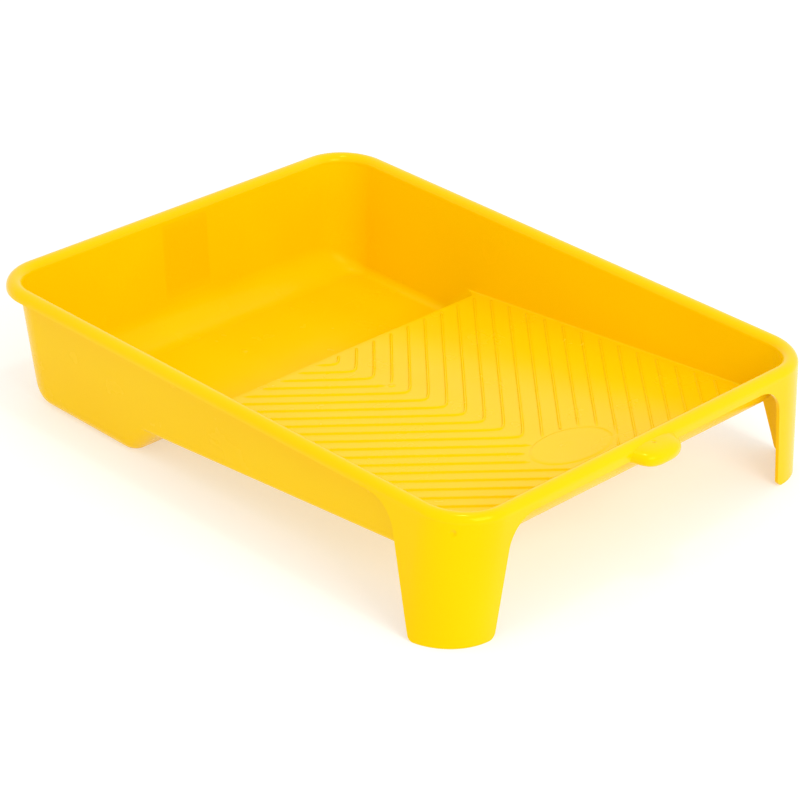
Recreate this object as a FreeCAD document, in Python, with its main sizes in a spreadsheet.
"""Paint roller tray: one thin-walled plastic moulding, modelled region by region.

Frame, in millimetres: +X across the tray, +Y from the low front rim (legs and hanging tab)
to the deep well at the back, +Z up.  The origin is on the floor, under the middle of the
overall length and width.

The moulding is one drafted shell.  It is drawn as an outer and an inner basin, and each node
is the part of that shell inside its own zone, so neighbours meet face to face.
"""
import FreeCAD, Part
import os
import Sketcher

Vector = FreeCAD.Vector
doc = FreeCAD.newDocument("paint_roller_tray")

# ---------------------------------------------------------------- driving sizes
SIZES = [
    # whole tray
    ("rim_length", 350.0),       # front edge of the rim to its back edge
    ("rim_width", 270.0),        # left edge of the rim to its right edge
    ("tray_height", 70.0),       # floor to the top of the rim
    ("wall", 2.0),               # thickness of the moulding
    # rim
    ("bead_radius", 4.5),        # half-round bead along the top
    ("rim_corner", 30.0),        # plan radius of the rim's outer edge
    ("lip_drop", 5.5),           # top of the rim to the foot of its outer lip
    ("skirt_drop", 7.5),         # the same at the front, where the lip is deeper
    # basin
    ("side_draft", 5.5),         # degrees, as are the other drafts
    ("back_draft", 7.0),
    ("front_draft", 10.0),
    ("riser_draft", 45.0),
    ("back_cove", 20.5),         # outer radius between the back wall and the well floor
    ("front_cove", 25.0),        # outer radius between the front wall and the ramp
    ("side_cove", 7.5),          # outer radius along the well's two bottom side edges
    ("ramp_cove", 3.0),          # outer radius along the ramp's two bottom side edges
    ("foot_round", 9.0),         # outer radius round the front of the well's foot
    # ramp
    ("crest_setback", 228.0),    # front edge of the rim to the ramp's crest
    ("crest_height", 21.5),      # floor to the ramp's upper face at the crest
    ("ramp_slope", 5.1),         # degrees, rising towards the front
    ("crest_overlap", 20.0),     # how far the ramp's drafted block runs on into the well
    # rolling ribs
    ("rib_pitch", 13.35),        # apex to apex, along the tray
    ("rib_first", 11.7),         # crest to the first apex
    ("rib_width", 1.8),
    ("rib_rise", 0.9),
    ("rib_margin", 2.0),         # ribs stop this far short of the crest and the coves
    ("badge_length", 54.0),      # plain oval area among the ribs, across the tray
    ("badge_depth", 34.0),       # the same along the tray
    ("badge_setback", 59.0),     # front edge of the rim to the oval's middle
    ("badge_offset", 9.0),       # middle of the tray to the oval's middle, to the right
    ("badge_rise", 0.5),
    # legs
    ("leg_splay", 5.7),          # degrees that the leg's side face leans outwards
    ("leg_side_foot", 26.0),     # front edge of the rim to the leg's back edge, at the floor
    ("leg_side_top", 49.0),      # the same at the foot of the lip
    ("leg_front_foot", 26.0),    # side edge of the rim to the leg's inner edge, at the floor
    ("leg_front_top", 34.5),     # the same at the foot of the skirt
    ("arch_side", 20.0),         # radius of the arch from the leg into the side lip
    ("arch_front", 18.0),        # radius of the arch from the leg into the front skirt
    ("foot_corner", 4.0),
    # hanging tab
    ("tab_reach", 11.0),
    ("tab_root", 33.0),
    ("tab_tip", 21.0),
    ("tab_corner", 5.0),
    ("tab_drop", 10.5),          # top of the rim to the tab's underside
    ("tab_tip_thick", 4.5),
    ("tab_root_thick", 8.5),
    # label panel and gate marks
    ("label_width", 36.0),
    ("label_rise", 0.6),
    ("gate_radius", 2.6),
    ("well_gate_rise", 0.4),
    ("ramp_gate_rise", 1.2),     # stands a little proud of the ribs round it
    ("ramp_gate_setback", 177.0),
    ("well_gate_setback", 290.0),
]
sheet = doc.addObject("Spreadsheet::Sheet", "Sizes")
for row, (alias, number) in enumerate(SIZES, start=1):
    sheet.set(f"A{row}", alias)
    sheet.set(f"B{row}", repr(number))
    sheet.setAlias(f"B{row}", alias)
doc.recompute()


# Expressions that several objects share.  Lengths along the tray are counted from the rim's
# front edge and lengths across it from its left edge, so that every coordinate is positive.
FRONT_Y = "(-(Sizes.rim_length + Sizes.tab_reach) / 2 + Sizes.tab_reach)"
LEFT_X = "(-Sizes.rim_width / 2)"
BEAD_Z = "(Sizes.tray_height - Sizes.bead_radius)"
OVERHANG = "(2 * Sizes.bead_radius - Sizes.wall)"
LIP_Z = "(Sizes.tray_height - Sizes.lip_drop)"
SKIRT_Z = "(Sizes.tray_height - Sizes.skirt_drop)"
RAMP_TAN = "tan(Sizes.ramp_slope)"


def ramp_z(along, lift="0"):
    """Height of the ramp's upper face, plus a lift, at a distance behind the front edge."""
    return f"(Sizes.crest_height + {lift} + {RAMP_TAN} * (Sizes.crest_setback - ({along})))"


# ---------------------------------------------------------------- drawing helpers
TOUCHING = 0.05     # places closer than this, in mm, are the same place
PARALLEL = 0.9      # a direction this much along an axis runs along it


def bind(thing, **expressions):
    for name, expression in expressions.items():
        thing.setExpression(name.replace("__", "."), str(expression))
    return thing


def place(thing, x="0", y="0", z="0"):
    return bind(thing, Placement__Base__x=x, Placement__Base__y=y, Placement__Base__z=z)


SIDE_VIEW = FreeCAD.Rotation(Vector(0, 1, 0), Vector(0, 0, 1), Vector(1, 0, 0), "XYZ")
FRONT_VIEW = FreeCAD.Rotation(Vector(1, 0, 0), Vector(0, 0, 1), Vector(0, -1, 0), "XYZ")
PLAN_VIEW = FreeCAD.Rotation()


def outline(name, view, points, arcs=()):
    """A closed sketch through points given as pairs of expressions.

    An entry in arcs is (index, side): the stretch from that point to the next is a half circle
    about the middle of the two, bulging to that side (+1 up, -1 down).
    """
    sketch = doc.addObject("Sketcher::SketchObject", name)
    sketch.Placement = FreeCAD.Placement(Vector(), view)
    values = []
    for across, up in points:
        values.append(Vector(evaluate(across), evaluate(up), 0))
    count = len(points)
    bulge = dict(arcs)
    for index in range(count):
        start, end = values[index], values[(index + 1) % count]
        if index in bulge:
            halfway = (start + end) / 2
            crown = halfway + Vector(0, bulge[index] * (end - start).Length / 2, 0)
            arc = Part.Arc(start, crown, end)
            sketch.addGeometry(arc)
        else:
            sketch.addGeometry(Part.LineSegment(start, end))
    ends = [arc_ends(sketch, index, values[index]) for index in range(count)]
    for index in range(count):
        following = (index + 1) % count
        sketch.addConstraint(Sketcher.Constraint(
            "Coincident", index, ends[index][1], following, ends[following][0]))
    for index, (across, up) in enumerate(points):
        for kind, expression, value in (("DistanceX", across, values[index].x),
                                        ("DistanceY", up, values[index].y)):
            number = sketch.addConstraint(Sketcher.Constraint(
                kind, -1, 1, index, ends[index][0], value))
            sketch.setExpression(f"Constraints[{number}]", str(expression))
    for index in bulge:
        following = (index + 1) % count
        centre_up = (values[index].y + values[following].y) / 2
        number = sketch.addConstraint(Sketcher.Constraint("DistanceY", -1, 1, index, 3, centre_up))
        sketch.setExpression(f"Constraints[{number}]",
                             f"(({points[index][1]}) + ({points[following][1]})) / 2")
    return sketch


def arc_ends(sketch, index, start):
    """Which end of a sketch's edge is its first and which its last, going round the outline."""
    if (sketch.getPoint(index, 1) - start).Length < (sketch.getPoint(index, 2) - start).Length:
        return 1, 2
    return 2, 1


def evaluate(expression):
    return float(sheet.evalExpression(str(expression).replace("Sizes.", "")))


def extrude(name, sketch, direction, length):
    """Extrudes a closed sketch by a bound length."""
    solid = doc.addObject("Part::Extrusion", name)
    solid.Base = sketch
    solid.DirMode = "Custom"
    solid.Dir = direction
    solid.Solid = True
    return bind(solid, LengthFwd=length)


def box(name, x, y, z, across, along, tall):
    """A block from its low corner and its three sizes, all expressions."""
    solid = doc.addObject("Part::Box", name)
    bind(solid, Length=across, Width=along, Height=tall)
    return place(solid, x, y, z)


def combine(kind, name, shapes):
    result = doc.addObject(kind, name)
    result.Shapes = shapes
    return result


def cut(name, base, tool):
    result = doc.addObject("Part::Cut", name)
    result.Base = base
    result.Tool = tool
    return result


def round_edges(name, base, radius_of):
    """Rounds each edge by the expression that radius_of gives for it; None leaves it sharp."""
    doc.recompute()
    rounded = doc.addObject("Part::Fillet", name)
    rounded.Base = base
    picked = []
    for number, edge in enumerate(base.Shape.Edges, start=1):
        radius = radius_of(edge)
        if radius is not None:
            picked.append((number, evaluate(radius), evaluate(radius)))
    rounded.Edges = picked
    return rounded


def middle(edge):
    return edge.valueAt((edge.FirstParameter + edge.LastParameter) / 2)


def way(edge):
    """Which way an edge runs: across the tray, along it, or neither, which counts as upright."""
    ends = edge.Vertexes
    run = (ends[-1].Point - ends[0].Point).normalize()
    if abs(run.x) > PARALLEL:
        return "across"
    if abs(run.y) > PARALLEL:
        return "along"
    return "upright"


# ---------------------------------------------------------------- basin
def front_toe(gap):
    """Where the front wall's line meets the ramp's, behind the front edge."""
    wall_tan = "tan(Sizes.front_draft)"
    ramp_at_zero = f"(Sizes.crest_height - Sizes.wall + {gap} + {RAMP_TAN} * Sizes.crest_setback)"
    return (f"(({OVERHANG} + {gap} + {wall_tan} * ({BEAD_Z} - {ramp_at_zero}))"
            f" / (1 - {wall_tan} * {RAMP_TAN}))")


def basin(name, gap):
    """The basin as a solid: gap 0 gives its outside, gap wall its hollow."""
    front_line = f"({OVERHANG} + {gap})"
    toe = front_toe(gap)
    ramp_end = "(Sizes.crest_setback + Sizes.crest_overlap)"
    lift = f"({gap} - Sizes.wall)"
    back_line = f"(Sizes.rim_length - {OVERHANG} - {gap})"
    riser_line = f"(Sizes.crest_setback - Sizes.wall + {gap})"
    riser_tan = "tan(Sizes.riser_draft)"

    ramp_side = outline(f"{name}_ramp_side", SIDE_VIEW, [
        (front_line, BEAD_Z),
        (toe, ramp_z(toe, lift)),
        (ramp_end, ramp_z(ramp_end, lift)),
        (ramp_end, BEAD_Z),
    ])
    well_side = outline(f"{name}_well_side", SIDE_VIEW, [
        (f"{riser_line} - {riser_tan} * ({BEAD_Z} - Sizes.crest_height)", BEAD_Z),
        (f"{riser_line} + {riser_tan} * (Sizes.crest_height - {gap})", gap),
        (f"{back_line} - tan(Sizes.back_draft) * ({BEAD_Z} - {gap})", gap),
        (back_line, BEAD_Z),
    ])
    cross_section = outline(f"{name}_section", FRONT_VIEW, [
        (f"{OVERHANG} + {gap} + tan(Sizes.side_draft) * {BEAD_Z}", "0"),
        (f"Sizes.rim_width - {OVERHANG} - {gap} - tan(Sizes.side_draft) * {BEAD_Z}", "0"),
        (f"Sizes.rim_width - {OVERHANG} - {gap}", BEAD_Z),
        (f"{OVERHANG} + {gap}", BEAD_Z),
    ])
    for section in (ramp_side, well_side, cross_section):
        place(section, LEFT_X, FRONT_Y)
    channel = extrude(f"{name}_channel", cross_section, Vector(0, 1, 0), "Sizes.rim_length")

    corner = f"(Sizes.rim_corner - {OVERHANG} - {gap})"
    nose = f"Sizes.foot_round - {gap}"
    halves = (
        ("ramp", ramp_side, {
            ("upright", "front"): corner,
            ("across", "front"): f"Sizes.front_cove - {gap}",
            "along": f"Sizes.ramp_cove - {gap}",
        }),
        ("well", well_side, {
            ("upright", "back"): corner,
            ("across", "back"): f"Sizes.back_cove - {gap}",
            ("upright", "front"): nose,
            ("across", "front"): nose,
            "along": f"Sizes.side_cove - {gap}",
        }),
    )
    rounded_halves = []
    for half, side, radii in halves:
        block = extrude(f"{name}_{half}_block", side, Vector(1, 0, 0), "Sizes.rim_width")
        rough = combine("Part::MultiCommon", f"{name}_{half}_rough", [block, channel])
        doc.recompute()
        bounds = rough.Shape.BoundBox
        middle_y = (bounds.YMin + bounds.YMax) / 2

        def radius_of(edge):
            point = middle(edge)
            if point.z > bounds.ZMax - TOUCHING:
                return None
            end = "front" if point.y < middle_y else "back"
            return radii.get((way(edge), end), radii.get(way(edge)))

        rounded_halves.append(round_edges(f"{name}_{half}", rough, radius_of))
    return combine("Part::MultiFuse", name, rounded_halves)


outer = basin("outer", "0")
inner = basin("inner", "Sizes.wall")
shell = cut("basin_shell", outer, inner)

# Where one zone of the basin ends and the next begins
SIDE_FOOT = f"({OVERHANG} + tan(Sizes.side_draft) * {BEAD_Z})"
BACK_FOOT = f"(Sizes.rim_length - {OVERHANG} - tan(Sizes.back_draft) * {BEAD_Z})"
CORNER = f"(Sizes.rim_corner - {OVERHANG})"
CORNER_X = f"({SIDE_FOOT} + {CORNER})"
FLOOR_X = f"({SIDE_FOOT} + max(Sizes.side_cove; Sizes.foot_round))"
RAMP_X = (f"({OVERHANG} + tan(Sizes.side_draft) * ({BEAD_Z} - Sizes.crest_height + Sizes.wall)"
          " + Sizes.ramp_cove)")
FRONT_ROW = f"({front_toe('0')} + max({CORNER}; Sizes.front_cove))"
RISER_ROW = "(Sizes.crest_setback - Sizes.wall)"
FLOOR_ROW = f"({RISER_ROW} + tan(Sizes.riser_draft) * Sizes.crest_height + Sizes.foot_round)"
BACK_ROW = f"({BACK_FOOT} - max({CORNER}; Sizes.back_cove))"
WIDTH = "Sizes.rim_width"
LENGTH = "Sizes.rim_length"

nodes = []


def node(name, thing):
    """Marks an object as a finished sub-part; its Label names its file."""
    thing.Label = name
    nodes.append(thing)
    return thing


def zone(name, x_span, y_span, z_span=("0", BEAD_Z)):
    """The part of the basin's shell inside one block."""
    (x_low, x_high), (y_low, y_high), (z_low, z_high) = x_span, y_span, z_span
    block = box(f"{name}_zone", f"{LEFT_X} + {x_low}", f"{FRONT_Y} + {y_low}", z_low,
                f"{x_high} - {x_low}", f"{y_high} - {y_low}", f"{z_high} - {z_low}")
    return node(name, combine("Part::MultiCommon", f"{name}_piece", [shell, block]))


def left_of(inset):
    return "0", inset


def right_of(inset):
    return f"({WIDTH} - {inset})", WIDTH


def between(inset):
    return inset, f"({WIDTH} - {inset})"


zone("well_floor", between(FLOOR_X), (FLOOR_ROW, BACK_ROW))
zone("step_riser", between(FLOOR_X), (RISER_ROW, FLOOR_ROW))
zone("back_cove", between(CORNER_X), (BACK_ROW, LENGTH), ("0", "Sizes.back_cove"))
zone("back_wall", between(CORNER_X), (BACK_ROW, LENGTH), ("Sizes.back_cove", BEAD_Z))
zone("ramp", between(RAMP_X), (FRONT_ROW, RISER_ROW))
zone("front_wall", between(CORNER_X), ("0", FRONT_ROW))
for side, edge_of in (("left", left_of), ("right", right_of)):
    zone(f"well_{side}_wall", edge_of(FLOOR_X), (RISER_ROW, BACK_ROW))
    zone(f"ramp_{side}_wall", edge_of(RAMP_X), (FRONT_ROW, RISER_ROW))
    zone(f"back_{side}_corner", edge_of(CORNER_X), (BACK_ROW, LENGTH))
    zone(f"front_{side}_corner", edge_of(CORNER_X), ("0", FRONT_ROW))

# ---------------------------------------------------------------- rim
BEAD_TOP = "(2 * Sizes.bead_radius)"
HALF_RING = [
    ("0", BEAD_Z),
    (BEAD_TOP, BEAD_Z),
    (f"{BEAD_TOP} - Sizes.wall", BEAD_Z),
    ("Sizes.wall", BEAD_Z),
]
LIPPED_RING = HALF_RING + [("Sizes.wall", LIP_Z), ("0", LIP_Z)]
HALF_RING_ARCS = ((0, 1), (2, 1))
RADIUS = "Sizes.rim_corner"
RIGHT_VIEW = FreeCAD.Rotation(Vector(-1, 0, 0), Vector(0, 0, 1), Vector(0, 1, 0), "XYZ")
BACK_VIEW = FreeCAD.Rotation(Vector(0, -1, 0), Vector(0, 0, 1), Vector(-1, 0, 0), "XYZ")

# Each side runs anticlockwise, seen from above, and ends where its corner starts: the view that
# its section is drawn in, the end's place, the way back along the side, and the side's length.
SIDES = {
    "front": (SIDE_VIEW, (f"{WIDTH} - {RADIUS}", "0"), Vector(-1, 0, 0), WIDTH),
    "right": (RIGHT_VIEW, (WIDTH, f"{LENGTH} - {RADIUS}"), Vector(0, -1, 0), LENGTH),
    "back": (BACK_VIEW, (RADIUS, LENGTH), Vector(1, 0, 0), WIDTH),
    "left": (FRONT_VIEW, ("0", RADIUS), Vector(0, 1, 0), LENGTH),
}
CORNER_AFTER = {
    "front": ("front_right", f"{WIDTH} - {RADIUS}", RADIUS),
    "right": ("back_right", f"{WIDTH} - {RADIUS}", f"{LENGTH} - {RADIUS}"),
    "back": ("back_left", RADIUS, f"{LENGTH} - {RADIUS}"),
    "left": ("front_left", RADIUS, RADIUS),
}


def section_at(name, side, points, arcs=()):
    """A rim or leg section drawn at the end of one side of the rim."""
    view, (x, y), _, _ = SIDES[side]
    sketch = outline(name, view, points, arcs)
    return place(sketch, f"{LEFT_X} + {x}", f"{FRONT_Y} + {y}")


def swing(name, sketch, side):
    """Turns a section a quarter turn round the corner that follows its side."""
    _, x, y = CORNER_AFTER[side]
    turn = doc.addObject("Part::Revolution", name)
    turn.Source = sketch
    turn.Axis = Vector(0, 0, 1)
    turn.Angle = 90
    turn.Solid = True
    return bind(turn, Base__x=f"{LEFT_X} + {x}", Base__y=f"{FRONT_Y} + {y}")


LIP_START = "(Sizes.leg_side_top + Sizes.arch_side)"
LIP_LENGTH = f"({LENGTH} - {RADIUS} - {LIP_START})"
for side, (_, _, backwards, side_length) in SIDES.items():
    lipped = side in ("right", "back")
    plain_section = section_at(f"{side}_bead_section", side, HALF_RING, HALF_RING_ARCS)
    turned_section = plain_section
    if lipped:
        turned_section = section_at(f"{side}_lip_section", side, LIPPED_RING, HALF_RING_ARCS)
    straight_section = turned_section if side == "back" else plain_section
    bead = extrude(f"{side}_bead", straight_section, backwards, f"{side_length} - 2 * {RADIUS}")
    if side in ("left", "right"):
        lip_x = LEFT_X if side == "left" else f"{LEFT_X} + {WIDTH} - Sizes.wall"
        lip = box(f"{side}_lip", lip_x, f"{FRONT_Y} + {LIP_START}", LIP_Z,
                  "Sizes.wall", LIP_LENGTH, f"{BEAD_Z} - {LIP_Z}")
        bead = combine("Part::MultiFuse", f"{side}_rim", [bead, lip])
    node(f"rim_{side}", bead)
    corner_name = CORNER_AFTER[side][0]
    node(f"rim_{corner_name}_corner", swing(f"{corner_name}_bead", turned_section, side))

# ---------------------------------------------------------------- skirt and legs
FRONT_LEG_END = "(Sizes.leg_front_top + Sizes.arch_front)"
node("front_skirt", box("skirt", f"{LEFT_X} + {FRONT_LEG_END}", FRONT_Y, SKIRT_Z,
                        f"{WIDTH} - 2 * {FRONT_LEG_END}", "Sizes.wall", f"{BEAD_Z} - {SKIRT_Z}"))

LEG_OUT = f"(tan(Sizes.leg_splay) * {BEAD_Z})"
LEG_DEEP = f"({LIP_START} + {RADIUS})"


def leg_block(name, gap):
    """The solid wedge of tray corner over a leg: gap 0 gives its outside, gap wall its hollow."""
    section = place(outline(f"{name}_section", FRONT_VIEW, [
        (gap, "0"),
        (f"{FRONT_LEG_END} + {LEG_OUT} + {gap}", "0"),
        (f"{FRONT_LEG_END} + {LEG_OUT} + {gap}", BEAD_Z),
        (f"{LEG_OUT} + {gap}", BEAD_Z),
    ]), f"{LEFT_X} - {LEG_OUT}", f"{FRONT_Y} + {gap}")
    block = extrude(f"{name}_block", section, Vector(0, 1, 0), LEG_DEEP)
    front = evaluate(f"{FRONT_Y} + {gap}") + TOUCHING
    outside = evaluate(f"{LEFT_X} + {gap}") + TOUCHING

    def radius_of(edge):
        at_corner = middle(edge).y < front and middle(edge).x < outside
        return f"{RADIUS} - {gap}" if way(edge) == "upright" and at_corner else None

    return round_edges(name, block, radius_of)


leg_wrap = cut("leg_wrap", leg_block("leg_outer", "0"), leg_block("leg_inner", "Sizes.wall"))


def leg_window(name, view, foot, top, end, hem_z, arch, direction_out, reach):
    """What one side view of the leg keeps: a tapering leg that arches into the hem above."""
    profile = place(outline(f"{name}_profile", view, [
        ("0", "0"),
        (f"{foot} + {LEG_OUT}", "0"),
        (f"{top} + {LEG_OUT}", hem_z),
        (f"{end} + {LEG_OUT}", hem_z),
        (f"{end} + {LEG_OUT}", BEAD_Z),
        ("0", BEAD_Z),
    ]), f"{LEFT_X} - {LEG_OUT}", f"{FRONT_Y} - {LEG_OUT}")
    block = extrude(f"{name}_block", profile, direction_out, f"{reach} + {LEG_OUT}")
    start = Vector(evaluate(LEFT_X), evaluate(FRONT_Y), 0)
    rounded_corners = ((foot, "0", "Sizes.foot_corner"), (top, hem_z, arch))

    def radius_of(edge):
        point = middle(edge) - start
        travelled = point.y if direction_out.x else point.x
        for along, height, radius in rounded_corners:
            off = abs(travelled - evaluate(along)) + abs(point.z - evaluate(height))
            if off < TOUCHING:
                return radius
        return None

    return round_edges(name, block, radius_of)


side_window = leg_window(
    "side_window", SIDE_VIEW, "Sizes.leg_side_foot", "Sizes.leg_side_top",
    LIP_START, LIP_Z, "Sizes.arch_side", Vector(1, 0, 0), WIDTH)
front_window = leg_window(
    "front_window", FRONT_VIEW, "Sizes.leg_front_foot", "Sizes.leg_front_top",
    FRONT_LEG_END, SKIRT_Z, "Sizes.arch_front", Vector(0, 1, 0), LENGTH)
leg = combine("Part::MultiCommon", "leg", [leg_wrap, side_window, front_window])
left_leg = node("left_leg", leg)
right_leg = doc.addObject("Part::Mirroring", "mirrored_leg")
right_leg.Source = left_leg
right_leg.Normal = Vector(1, 0, 0)
node("right_leg", right_leg)

# ---------------------------------------------------------------- hanging tab
MIDDLE_X = f"({WIDTH} / 2)"
TAB_DEEP = "(Sizes.tab_reach + Sizes.bead_radius)"
TAB_FLOOR = "(Sizes.tray_height - Sizes.tab_drop)"
TAB_Y = f"{FRONT_Y} - Sizes.tab_reach"
tab_plan = place(outline("tab_plan", PLAN_VIEW, [
    (f"{MIDDLE_X} - Sizes.tab_root / 2", TAB_DEEP),
    (f"{MIDDLE_X} - Sizes.tab_root / 2", "Sizes.tab_reach"),
    (f"{MIDDLE_X} - Sizes.tab_tip / 2", "0"),
    (f"{MIDDLE_X} + Sizes.tab_tip / 2", "0"),
    (f"{MIDDLE_X} + Sizes.tab_root / 2", "Sizes.tab_reach"),
    (f"{MIDDLE_X} + Sizes.tab_root / 2", TAB_DEEP),
]), LEFT_X, TAB_Y)
tab_side = place(outline("tab_side", SIDE_VIEW, [
    ("0", TAB_FLOOR),
    (TAB_DEEP, TAB_FLOOR),
    (TAB_DEEP, f"{TAB_FLOOR} + Sizes.tab_root_thick"),
    ("0", f"{TAB_FLOOR} + Sizes.tab_tip_thick"),
]), LEFT_X, TAB_Y)
tab_rough = combine("Part::MultiCommon", "tab_rough", [
    extrude("tab_plan_block", tab_plan, Vector(0, 0, 1), "Sizes.tray_height"),
    extrude("tab_side_block", tab_side, Vector(1, 0, 0), WIDTH),
])
tab_tip_y = evaluate(TAB_Y)


def tab_radius(edge):
    at_tip = middle(edge).y < tab_tip_y + TOUCHING
    return "Sizes.tab_corner" if way(edge) == "upright" and at_tip else None


tab_round = round_edges("tab_round", tab_rough, tab_radius)
bead_core = doc.addObject("Part::Cylinder", "bead_core")
bead_core.Placement.Rotation = FreeCAD.Rotation(Vector(0, 1, 0), 90)
bind(bead_core, Radius="Sizes.bead_radius", Height=WIDTH)
place(bead_core, LEFT_X, f"{FRONT_Y} + Sizes.bead_radius", BEAD_Z)
under_bead = box("under_bead", LEFT_X, FRONT_Y, "0", WIDTH, BEAD_TOP, BEAD_Z)
front_edge = combine("Part::MultiFuse", "front_edge", [bead_core, under_bead])
node("hanging_tab", cut("tab", tab_round, front_edge))

# ---------------------------------------------------------------- ribs, badge, label, gates
INNER_TOE = front_toe("Sizes.wall")
COVE_ANGLE = "(90 + Sizes.front_draft + Sizes.ramp_slope)"
COVE_TANGENT = f"((Sizes.front_cove - Sizes.wall) / tan({COVE_ANGLE} / 2))"
FIELD_FRONT = f"({INNER_TOE} + {COVE_TANGENT} + Sizes.rib_margin)"
FIELD_BACK = "(Sizes.crest_setback - Sizes.rib_margin)"


def ramp_layer(name, rise, y_low, y_high):
    """A sheet lying on the ramp, as thick as rise, between two distances from the front."""
    profile = place(outline(f"{name}_profile", SIDE_VIEW, [
        (y_low, ramp_z(y_low)),
        (y_high, ramp_z(y_high)),
        (y_high, ramp_z(y_high, rise)),
        (y_low, ramp_z(y_low, rise)),
    ]), f"{LEFT_X} + {RAMP_X}", FRONT_Y)
    return extrude(name, profile, Vector(1, 0, 0), f"{WIDTH} - 2 * {RAMP_X}")


badge_post = doc.addObject("Part::Ellipse", "badge_oval")
bind(badge_post, MajorRadius="Sizes.badge_length / 2", MinorRadius="Sizes.badge_depth / 2")
place(badge_post, "Sizes.badge_offset", f"{FRONT_Y} + Sizes.badge_setback")
badge_column = extrude("badge_column", badge_post, Vector(0, 0, 1), "Sizes.tray_height")
badge_layer = ramp_layer("badge_layer", "Sizes.badge_rise", "0", FIELD_BACK)
node("plain_badge", combine("Part::MultiCommon", "badge", [badge_column, badge_layer]))

HALF_FIELD = f"({WIDTH} / 2 - {RAMP_X})"
LAST_APEX = "(Sizes.crest_setback - Sizes.rib_first)"
RIB_ALONG = "(Sizes.rib_width * sqrt(2))"
chevrons = doc.addObject("PartDesign::Body", "chevrons")
chevrons.AllowCompound = True
plan_plane = next(f for f in chevrons.Origin.OriginFeatures if f.Role == "XY_Plane")
chevron_sketch = outline("chevron_outline", PLAN_VIEW, [
    (MIDDLE_X, LAST_APEX),
    (f"{MIDDLE_X} + {HALF_FIELD}", f"{LAST_APEX} + {HALF_FIELD}"),
    (f"{MIDDLE_X} + {HALF_FIELD}", f"{LAST_APEX} + {HALF_FIELD} + {RIB_ALONG}"),
    (MIDDLE_X, f"{LAST_APEX} + {RIB_ALONG}"),
    (f"{MIDDLE_X} - {HALF_FIELD}", f"{LAST_APEX} + {HALF_FIELD} + {RIB_ALONG}"),
    (f"{MIDDLE_X} - {HALF_FIELD}", f"{LAST_APEX} + {HALF_FIELD}"),
])
chevrons.addObject(chevron_sketch)
chevron_sketch.AttachmentSupport = [(plan_plane, "")]
chevron_sketch.MapMode = "FlatFace"
chevron_pad = chevrons.newObject("PartDesign::Pad", "chevron_pad")
chevron_pad.Profile = chevron_sketch
bind(chevron_pad, Length="Sizes.tray_height")
doc.recompute()
chevron_rows = chevrons.newObject("PartDesign::LinearPattern", "chevron_rows")
chevron_rows.Originals = [chevron_pad]
chevron_rows.Direction = (chevron_sketch, ["V_Axis"])
chevron_rows.Reversed = True
RIB_COUNT = f"floor(({LAST_APEX} + {HALF_FIELD} - {FIELD_FRONT}) / Sizes.rib_pitch) + 1"
bind(chevron_rows, Occurrences=RIB_COUNT, Length=f"Sizes.rib_pitch * ({RIB_COUNT} - 1)")
chevrons.Tip = chevron_rows
place(chevrons, LEFT_X, FRONT_Y)
rib_layer = ramp_layer("rib_layer", "Sizes.rib_rise", FIELD_FRONT, FIELD_BACK)
all_ribs = combine("Part::MultiCommon", "all_ribs", [chevrons, rib_layer])
gate_post = doc.addObject("Part::Cylinder", "ramp_gate_post")
bind(gate_post, Radius="Sizes.gate_radius", Height="Sizes.tray_height")
place(gate_post, "0", f"{FRONT_Y} + Sizes.ramp_gate_setback")
plain_spots = combine("Part::MultiFuse", "plain_spots", [badge_column, gate_post])
node("rolling_ribs", cut("ribs", all_ribs, plain_spots))
gate_layer = ramp_layer("gate_layer", "Sizes.ramp_gate_rise", FIELD_FRONT, FIELD_BACK)
node("ramp_gate_mark", combine("Part::MultiCommon", "ramp_gate", [gate_post, gate_layer]))

BACK_TAN = "tan(Sizes.back_draft)"
INSIDE_BACK = f"({LENGTH} - {OVERHANG} - Sizes.wall)"
LABEL_LOW = f"{INSIDE_BACK} - {BACK_TAN} * ({BEAD_Z} - Sizes.back_cove)"
label_profile = place(outline("label_profile", SIDE_VIEW, [
    (LABEL_LOW, "Sizes.back_cove"),
    (INSIDE_BACK, BEAD_Z),
    (f"{INSIDE_BACK} - Sizes.label_rise", BEAD_Z),
    (f"{LABEL_LOW} - Sizes.label_rise", "Sizes.back_cove"),
]), "-Sizes.label_width / 2", FRONT_Y)
node("label_panel", extrude("label", label_profile, Vector(1, 0, 0), "Sizes.label_width"))

well_gate = doc.addObject("Part::Cylinder", "well_gate")
bind(well_gate, Radius="Sizes.gate_radius", Height="Sizes.well_gate_rise")
place(well_gate, "0", f"{FRONT_Y} + Sizes.well_gate_setback", "Sizes.wall")
node("well_gate_mark", well_gate)

# ---------------------------------------------------------------- checks and files
doc.recompute()
for thing in doc.Objects:
    if "Invalid" in thing.State or "Error" in thing.State:
        raise SystemExit(f"{thing.Name} failed: {thing.State}")
for piece in nodes:
    if piece.Shape.isNull() or not piece.Shape.isValid() or not piece.Shape.Solids:
        raise SystemExit(f"{piece.Label} has no valid solid")

os.makedirs("parts", exist_ok=True)
for piece in nodes:
    piece.Shape.exportStep(os.path.join("parts", f"{piece.Label}.step"))
print(f"{len(nodes)} nodes")
